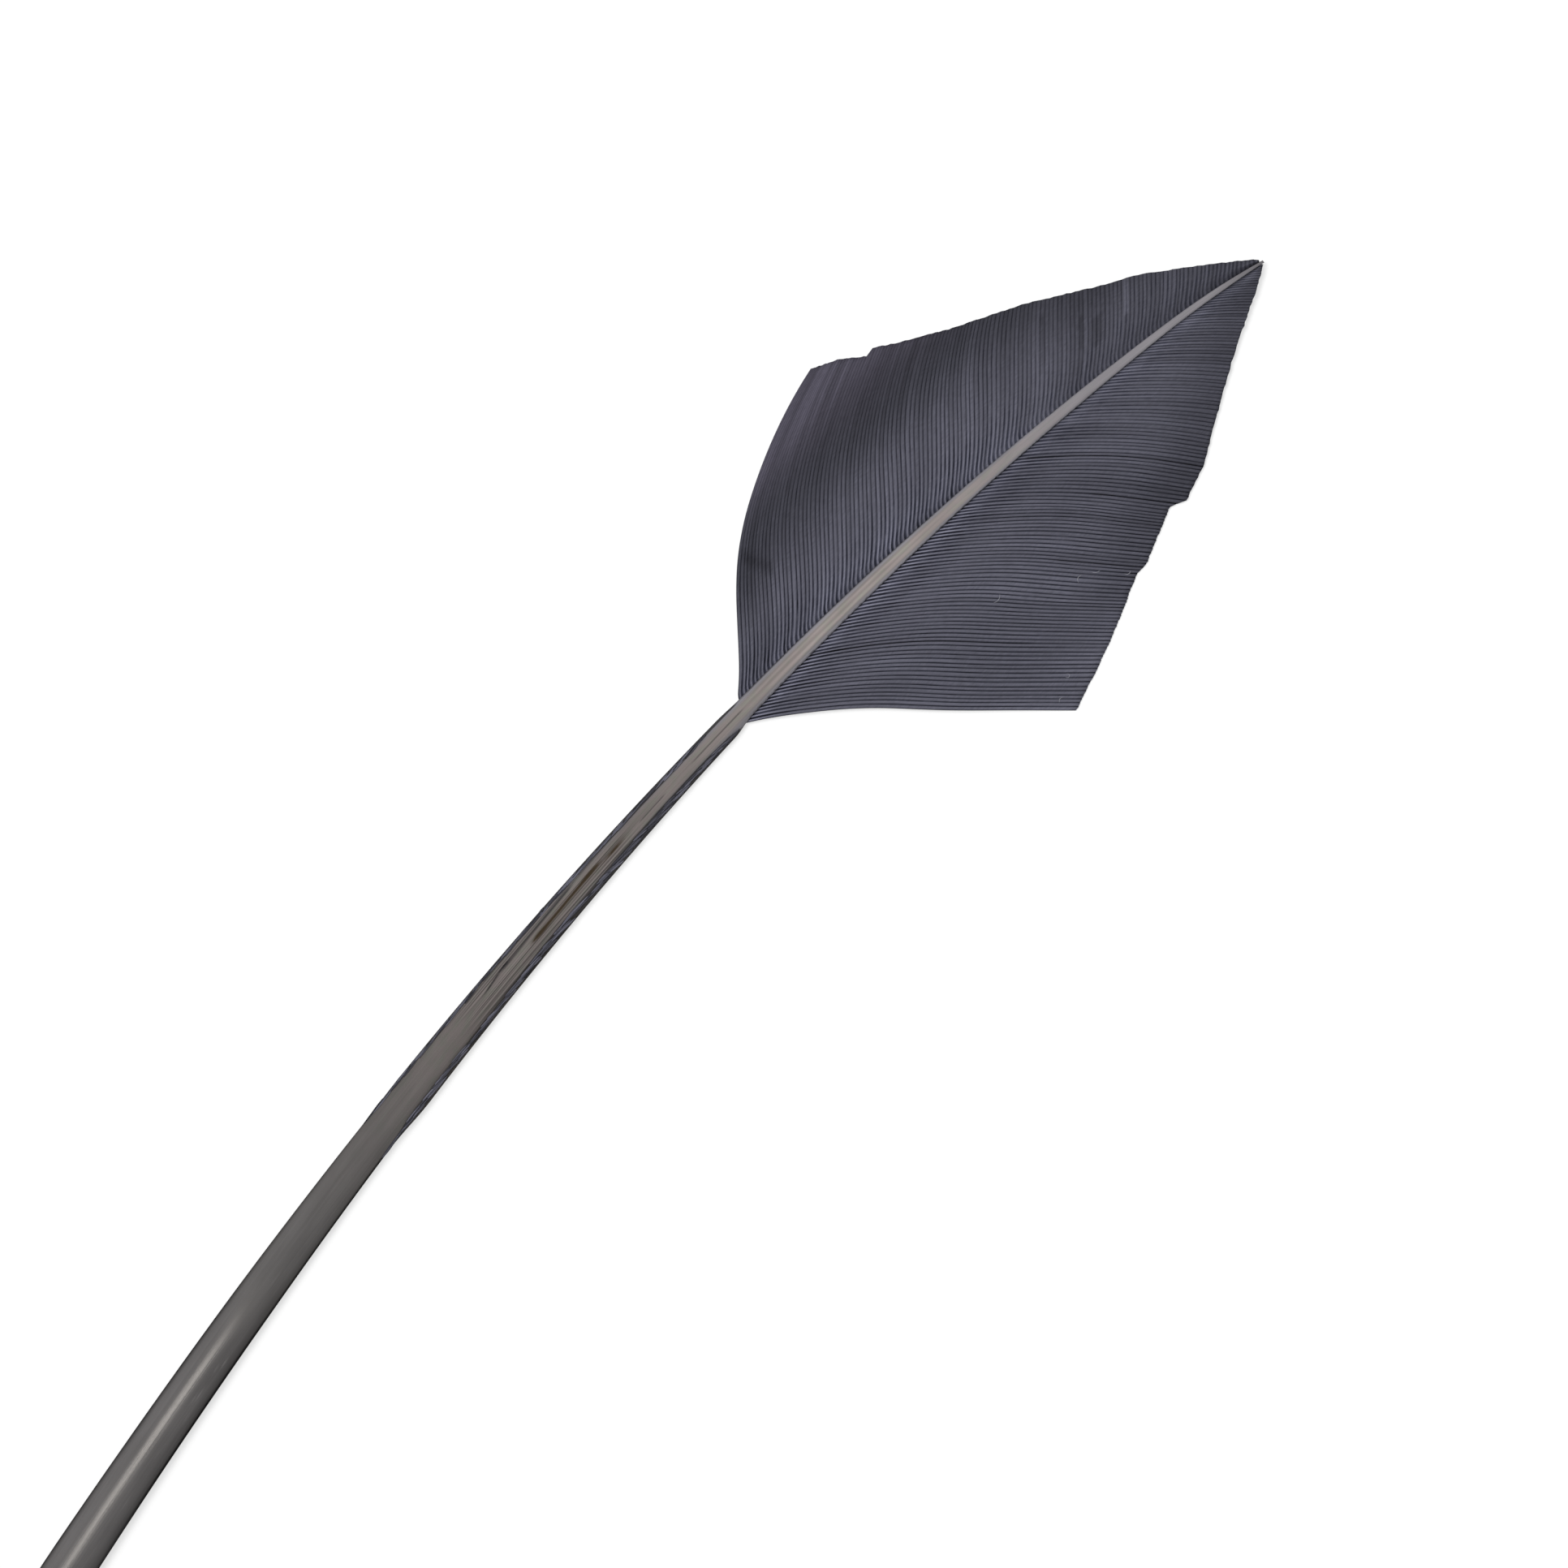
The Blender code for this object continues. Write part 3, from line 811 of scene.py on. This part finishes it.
def make_vane(name, side, material):
    """All barbs of one vane."""
    random = np.random.default_rng(VANE_SEED + side)
    stations = seam_stations(side, random)
    xs, ys = walk_seams(side, stations)
    ends = trim_lengths(side, xs, ys)
    barbs = range(len(stations) - 1)
    parts = [make_barb(side, barb, stations, xs, ys, ends, random) for barb in barbs]
    points, values, uvs = zip(*parts)
    attributes = {key: np.concatenate([part[key] for part in values]) for key in values[0]}
    faces = tube_faces(BARB_RINGS, len(BARB_SECTION), flipped=side < 0)
    faces = repeat_faces(faces, barbs, BARB_RINGS * len(BARB_SECTION))
    make_piece(name, np.vstack(points), faces, attributes, np.vstack(uvs), material)


# Barb stubs

def flank_height(station, across):
    """Height of the shaft's upper surface, level with the axis beyond its flank."""
    reach = half_width_at(station) + ledge_width(np.sign(across), station)
    share = np.clip(np.abs(across) / reach, 0.0, 1.0)
    squareness = 2.0 / section_power(station)
    rise = (1.0 - share ** squareness) ** (1.0 / squareness)
    return axis_height_at(station) + half_depth_at(station) * rise


def make_stubs(material):
    """The cut barbs left on the stem, laid along its flanks like a braid."""
    random = np.random.default_rng(STUB_SEED)
    over, profile = section_rows(STUB_SECTION)
    share = np.linspace(0.0, 1.0, STUB_RINGS)[:, None]
    points, faces, levels, uvs = [], [], [], []
    for side, inner_edge in ((1, LEFT_STRIP), (-1, RIGHT_STRIP)):
        first, last = inner_edge[0][0] - STUB_LEAD, STUB_END[side] - STUB_ROOM
        before = len(points)
        for root in np.arange(first, last, STUB_PITCH[side]):
            root = root + random.uniform(*STUB_SHIFTS)
            station = root + share * random.uniform(*STUB_LENGTHS)
            inner = value_at(inner_edge, station)
            ledge = STUB_LEDGE_SHARE * ledge_width(side, station)
            outer = side * (half_width_at(station) + ledge)
            lane = random.uniform(*STUB_LANES) + random.uniform(*STUB_DRIFTS) * share
            middle = inner + (outer - inner) * lane
            taper = spindle(share, STUB_TAPER)
            across = middle + over * taper * random.uniform(*STUB_WIDTHS)
            rise = random.uniform(*STUB_RISES) + profile * taper
            x, y = beside(station, across)
            points.append(to_metres(x, y, flank_height(station, across) + rise))
            levels.append(np.full(across.size, brightness(random.uniform(*STUB_SHADES))))
            uvs.append(uv_grid(station * SHAFT_UV[0], across * SHAFT_UV[1]))
        side_faces = tube_faces(STUB_RINGS, over.size, flipped=side < 0)
        faces += repeat_faces(side_faces, range(before, len(points)), STUB_RINGS * over.size)
    attributes = {"level": np.concatenate(levels)}
    make_piece("barb_stubs", np.vstack(points), faces, attributes, np.vstack(uvs), material)


def make_lint(material):
    """Short pale fibres caught on the right vane, each bent a little to one side."""
    share = np.linspace(0.0, 1.0, LINT_RINGS)[:, None]
    angle = np.arange(LINT_SIDES)[None, :] * math.tau / LINT_SIDES
    xs, ys = walk_seams(-1, np.array([fibre[0] for fibre in LINT]))
    ends = trim_lengths(-1, xs, ys)
    points, uvs = [], []
    for fibre, (station, along, heading, length, bend) in enumerate(LINT):
        step = round(along / BARB_STEP)
        x, y = xs[fibre, step], ys[fibre, step]
        height = sheet_height(station, along / ends[fibre]) + LINT_RISE
        turned = np.radians(heading + bend * (share - 0.5))
        middle_x = x + length * (share - 0.5) * np.cos(turned)
        middle_y = y + length * (share - 0.5) * np.sin(turned)
        radius = LINT_RADIUS * spindle(share, LINT_TAPER)
        ring_x = middle_x - radius * np.cos(angle) * np.sin(turned)
        ring_y = middle_y + radius * np.cos(angle) * np.cos(turned)
        ring_z = height + lift_at(ring_x) + radius * np.sin(angle)
        points.append(to_metres(ring_x, ring_y, ring_z))
        uvs.append(uv_grid(share * length * SHAFT_UV[0], angle * SHAFT_UV[0]))
    faces = tube_faces(LINT_RINGS, LINT_SIDES, flipped=True)
    faces = repeat_faces(faces, range(len(LINT)), LINT_RINGS * LINT_SIDES)
    make_piece("lint", np.vstack(points), faces, {}, np.vstack(uvs), material)


# Materials

class Surface:
    """A material under construction, with short ways to add shader nodes."""

    def __init__(self, name):
        self.material = bpy.data.materials.new(name)
        self.material.use_nodes = True
        self.tree = self.material.node_tree
        self.shader = self.tree.nodes["Principled BSDF"]

    def feed(self, socket, value):
        """Give a socket a constant or another node's output."""
        if isinstance(value, bpy.types.NodeSocket):
            self.tree.links.new(value, socket)
        else:
            socket.default_value = value

    def attribute(self, name):
        """A mesh attribute as a number."""
        node = self.tree.nodes.new("ShaderNodeAttribute")
        node.attribute_name = name
        return node.outputs["Fac"]

    def combine(self, operation, first, second=0.0):
        """Two numbers put together by an operation such as ADD or MULTIPLY."""
        node = self.tree.nodes.new("ShaderNodeMath")
        node.operation = operation
        self.feed(node.inputs[0], first)
        self.feed(node.inputs[1], second)
        return node.outputs[0]

    def spread(self, value, low, high, to_low=0.0, to_high=1.0):
        """Map a number smoothly from one range to another."""
        node = self.tree.nodes.new("ShaderNodeMapRange")
        node.interpolation_type = "SMOOTHSTEP"
        numbers = (("Value", value), ("From Min", low), ("From Max", high), ("To Min", to_low),
                   ("To Max", to_high))
        for socket, number in numbers:
            self.feed(node.inputs[socket], number)
        return node.outputs["Result"]

    def mix(self, share, first, second, blend="MIX"):
        """Blend two colours."""
        node = self.tree.nodes.new("ShaderNodeMix")
        node.data_type = "RGBA"
        node.blend_type = blend
        self.feed(node.inputs["Factor"], share)
        self.feed(node.inputs[6], first)
        self.feed(node.inputs[7], second)
        return node.outputs[2]

    def grain(self, along, around, detail=2.0, roughness=0.5):
        """Noise that is stretched along the piece, as a number."""
        source = self.tree.nodes.new("ShaderNodeUVMap")
        source.uv_map = "along"
        scale = self.tree.nodes.new("ShaderNodeMapping")
        scale.inputs["Scale"].default_value = (along, around, 1.0)
        noise_node = self.tree.nodes.new("ShaderNodeTexNoise")
        noise_node.inputs["Scale"].default_value = 1.0
        noise_node.inputs["Detail"].default_value = detail
        noise_node.inputs["Roughness"].default_value = roughness
        self.tree.links.new(source.outputs["UV"], scale.inputs["Vector"])
        self.tree.links.new(scale.outputs["Vector"], noise_node.inputs["Vector"])
        return noise_node.outputs["Fac"]

    def bump(self, height, distance, strength):
        """Small relief on the surface."""
        node = self.tree.nodes.new("ShaderNodeBump")
        node.inputs["Distance"].default_value = distance
        node.inputs["Strength"].default_value = strength
        self.tree.links.new(height, node.inputs["Height"])
        self.tree.links.new(node.outputs["Normal"], self.shader.inputs["Normal"])

    def finish(self, colour, roughness, **constants):
        """Colour, roughness and the constant settings of the surface."""
        self.feed(self.shader.inputs["Base Color"], colour)
        self.feed(self.shader.inputs["Roughness"], roughness)
        for name, value in constants.items():
            self.shader.inputs[name.replace("_", " ")].default_value = value
        return self.material


SLATE = tint(78, 78, 88)
# Bluer slate of the dark furrows, partly painted shade
DEEP_SLATE = tint(50, 51, 62)
# Lilac of the painted sheen on the left barbs' outer parts
SHEEN_LILAC = tint(79, 76, 88)
HORN = tint(94, 92, 92)
PINK_TAUPE = tint(158, 148, 146)
GREEN_TAUPE = tint(152, 149, 142)
COOL_EDGE = tint(141, 139, 146)
BROWN = (0.03, 0.019, 0.009, 1.0)
# Black of the painted shade in the stem's slit, trough and creases
BLACK = (0.012, 0.012, 0.015, 1.0)
WARM_SHINE = (1.0, 0.94, 0.87, 1.0)
LINT_COLOUR = (0.24, 0.24, 0.27, 1.0)
WHITE = (1.0, 1.0, 1.0, 1.0)

# Ridge of a barb: lengths over which its flat crest widens, the crest's half width before
# and after as shares of the barb's width, and the width of the slope beside it
CREST_LENGTHS = (0.3, 9.0)
CREST_HALF_WIDTHS = (0.08, 0.27)
SLOPE_WIDTH = 0.21
# Contrast of ridge and furrow, partly the barbs' own colour and partly painted shade, the height
# that keeps its shade, the darkest furrow and the painted shade that is left beside a split
FURROW_CONTRAST = 1.05
NEUTRAL_HEIGHT = 0.6
DARKEST_FURROW = 0.2
SPLIT_SHADE = 0.5
SPECKLES = (0.86, 1.14)
# Roughness of the plain barbs and the sheen, of the quill and the stem, and of the rest
VANE_ROUGHNESS = (0.66, 0.56)
SHAFT_ROUGHNESS = (0.31, 0.92)
STUB_ROUGHNESS = 0.65
LINT_ROUGHNESS = 0.8
FLOOR_ROUGHNESS = 0.9
NOTCH_SHADE = 0.6


def vane_material(name):
    """Dyed barbs: a pale ridge on each and dark furrows between them, partly the barbs' own colour
    and partly painted shade.
    """
    surface = Surface(name)
    over = surface.attribute("over")
    length = surface.attribute("length")
    off_crest = surface.combine("ABSOLUTE", surface.combine("SUBTRACT", over, 0.5))
    crest_half = surface.spread(length, *CREST_LENGTHS, *CREST_HALF_WIDTHS)
    crest_end = surface.combine("ADD", crest_half, SLOPE_WIDTH)
    ridge = surface.spread(off_crest, crest_end, crest_half)
    relief = surface.combine("SUBTRACT", ridge, NEUTRAL_HEIGHT)
    relief = surface.combine("MULTIPLY", relief, FURROW_CONTRAST)
    furrows = surface.combine("MULTIPLY", relief, surface.attribute("furrow"))
    fibres = surface.grain(25.0, 220.0, 3.0)
    value = surface.combine("ADD", furrows, surface.spread(fibres, 0.2, 0.8, 0.9, 1.1))
    beside_ridge = surface.combine("SUBTRACT", 1.0, ridge)
    opened = surface.combine("MULTIPLY", surface.attribute("split"), beside_ridge)
    value = surface.combine("MAXIMUM", value, DARKEST_FURROW)
    value = surface.combine("MULTIPLY", value, surface.spread(opened, 0.0, 1.0, 1.0, SPLIT_SHADE))
    speckles = surface.grain(500.0, 70.0, 1.0)
    value = surface.combine("MULTIPLY", value, surface.spread(speckles, 0.25, 0.75, *SPECKLES))
    value = surface.combine("MULTIPLY", value, surface.attribute("level"))
    hue = surface.mix(surface.attribute("sheen"), SLATE, SHEEN_LILAC)
    hue = surface.mix(surface.spread(furrows, -0.1, -0.6), hue, DEEP_SLATE)
    colour = surface.mix(1.0, hue, value, "MULTIPLY")
    barbules = surface.grain(900.0, 260.0, 1.0)
    surface.bump(barbules, 0.00003, 0.4)
    roughness = surface.spread(surface.attribute("sheen"), 0.0, 1.0, *VANE_ROUGHNESS)
    return surface.finish(colour, roughness, Specular_IOR_Level=0.1)


def shaft_material():
    """Dyed horn: slate on the quill, taupe on the rachis, with stains and dark lines of painted
    shade.
    """
    surface = Surface("dyed horn")
    blotch = surface.grain(45.0, 16.0, 2.0)
    taupe = surface.mix(surface.spread(blotch, 0.43, 0.68), PINK_TAUPE, GREEN_TAUPE)
    hue = surface.mix(surface.attribute("rachis"), HORN, taupe)
    hue = surface.mix(surface.attribute("edge"), hue, COOL_EDGE)
    fibres = surface.grain(2.5, 55.0, 3.0, 0.6)
    mottle = surface.grain(14.0, 9.0, 3.0)
    coarse = surface.spread(fibres, 0.4, 0.6, -0.42, 0.28)
    coarse = surface.combine("MULTIPLY", coarse, surface.attribute("grain"))
    value = surface.combine("ADD", coarse, surface.spread(fibres, 0.25, 0.75, 0.93, 1.07))
    value = surface.combine("MULTIPLY", value, surface.spread(mottle, 0.3, 0.7, 0.94, 1.06))
    value = surface.combine("MULTIPLY", value, surface.attribute("level"))
    notches = surface.spread(surface.grain(150.0, 12.0, 1.0), 0.46, 0.6)
    notches = surface.combine("MULTIPLY", notches, surface.attribute("rim"))
    value = surface.combine("MULTIPLY", value, surface.spread(notches, 0.0, 1.0, 1.0, NOTCH_SHADE))
    colour = surface.mix(1.0, hue, value, "MULTIPLY")
    colour = surface.mix(surface.attribute("stain"), colour, BROWN)
    colour = surface.mix(surface.attribute("dark"), colour, BLACK)
    surface.bump(fibres, 0.00004, 0.5)
    roughness = surface.spread(surface.attribute("matt"), 0.0, 1.0, *SHAFT_ROUGHNESS)
    return surface.finish(colour, roughness, Specular_IOR_Level=0.72, Specular_Tint=WARM_SHINE)


def lint_material():
    """Pale cotton fibres."""
    return Surface("lint").finish(LINT_COLOUR, LINT_ROUGHNESS)


def stub_material():
    """Dark matted stubs, some of them paler."""
    surface = Surface("barb stubs")
    fibres = surface.grain(30.0, 120.0, 3.0)
    value = surface.spread(fibres, 0.3, 0.7, 0.75, 1.2)
    value = surface.combine("MULTIPLY", value, surface.attribute("level"))
    colour = surface.mix(1.0, SLATE, value, "MULTIPLY")
    surface.bump(fibres, 0.00005, 0.6)
    return surface.finish(colour, STUB_ROUGHNESS, Specular_IOR_Level=0.3)


# Stage

def image_direction(right, up):
    """World direction of a direction in the picture, on the floor."""
    angle = math.radians(-FEATHER_TILT)
    x = right * math.cos(angle) - up * math.sin(angle)
    y = right * math.sin(angle) + up * math.cos(angle)
    return Vector((x, y, 0.0))


def make_floor():
    """A large plain white table."""
    bpy.ops.mesh.primitive_plane_add(size=FLOOR_SIZE, location=(0.0, 0.0, 0.0))
    floor = bpy.context.active_object
    floor.name = "floor"
    surface = Surface("pale floor")
    grey = (FLOOR_BRIGHTNESS, FLOOR_BRIGHTNESS, FLOOR_BRIGHTNESS, 1.0)
    surface.finish(grey, FLOOR_ROUGHNESS, Specular_IOR_Level=0.1, Emission_Color=WHITE,
                   Emission_Strength=FLOOR_GLOW)
    floor.data.materials.append(surface.material)
    floor.visible_glossy = False


def add_window(name, right, up, size, power):
    """A square soft light that points at the feather's middle."""
    place = image_direction(right, up) + Vector((0.0, 0.0, LIGHT_HEIGHT))
    data = bpy.data.lights.new(name, "AREA")
    data.shape = "SQUARE"
    data.size = size
    data.energy = power
    light = bpy.data.objects.new(name, data)
    light.location = place
    light.rotation_euler = (-place).to_track_quat("-Z", "Y").to_euler()
    bpy.context.scene.collection.objects.link(light)
    return light


def make_lights():
    """Soft daylight from all round, and two lights above the picture's upper left."""
    world = bpy.data.worlds.new("surround")
    world.use_nodes = True
    background = world.node_tree.nodes["Background"]
    background.inputs["Color"].default_value = WHITE
    background.inputs["Strength"].default_value = SURROUND_STRENGTH
    bpy.context.scene.world = world
    world.cycles_visibility.glossy = False
    skylight = add_window("skylight", *SKYLIGHT)
    skylight.visible_glossy = False
    add_window("window", *WINDOW)


def make_camera():
    """A long lens straight above, turned so that the feather lies as photographed."""
    data = bpy.data.cameras.new("camera")
    data.sensor_width = SENSOR
    data.lens = SENSOR * CAMERA_HEIGHT / (PICTURE_SIZE / PIXELS_PER_MM)
    data.clip_start = 0.1
    data.clip_end = 10.0
    camera = bpy.data.objects.new("camera", data)
    x = (PICTURE_MIDDLE[0] - MIDDLE[0]) * MM
    y = (PICTURE_MIDDLE[1] - MIDDLE[1]) * MM
    camera.location = (x, y, CAMERA_HEIGHT * MM)
    camera.rotation_euler = (0.0, 0.0, math.radians(-FEATHER_TILT))
    bpy.context.scene.collection.objects.link(camera)
    bpy.context.scene.camera = camera
    bpy.context.scene.view_settings.view_transform = "Standard"


def main():
    """Build every piece in the feather's place, then the stage."""
    make_shaft(shaft_material())
    make_vane("left_vane", 1, vane_material("dyed left vane"))
    make_vane("right_vane", -1, vane_material("dyed right vane"))
    make_stubs(stub_material())
    make_lint(lint_material())
    make_floor()
    make_lights()
    make_camera()


main()
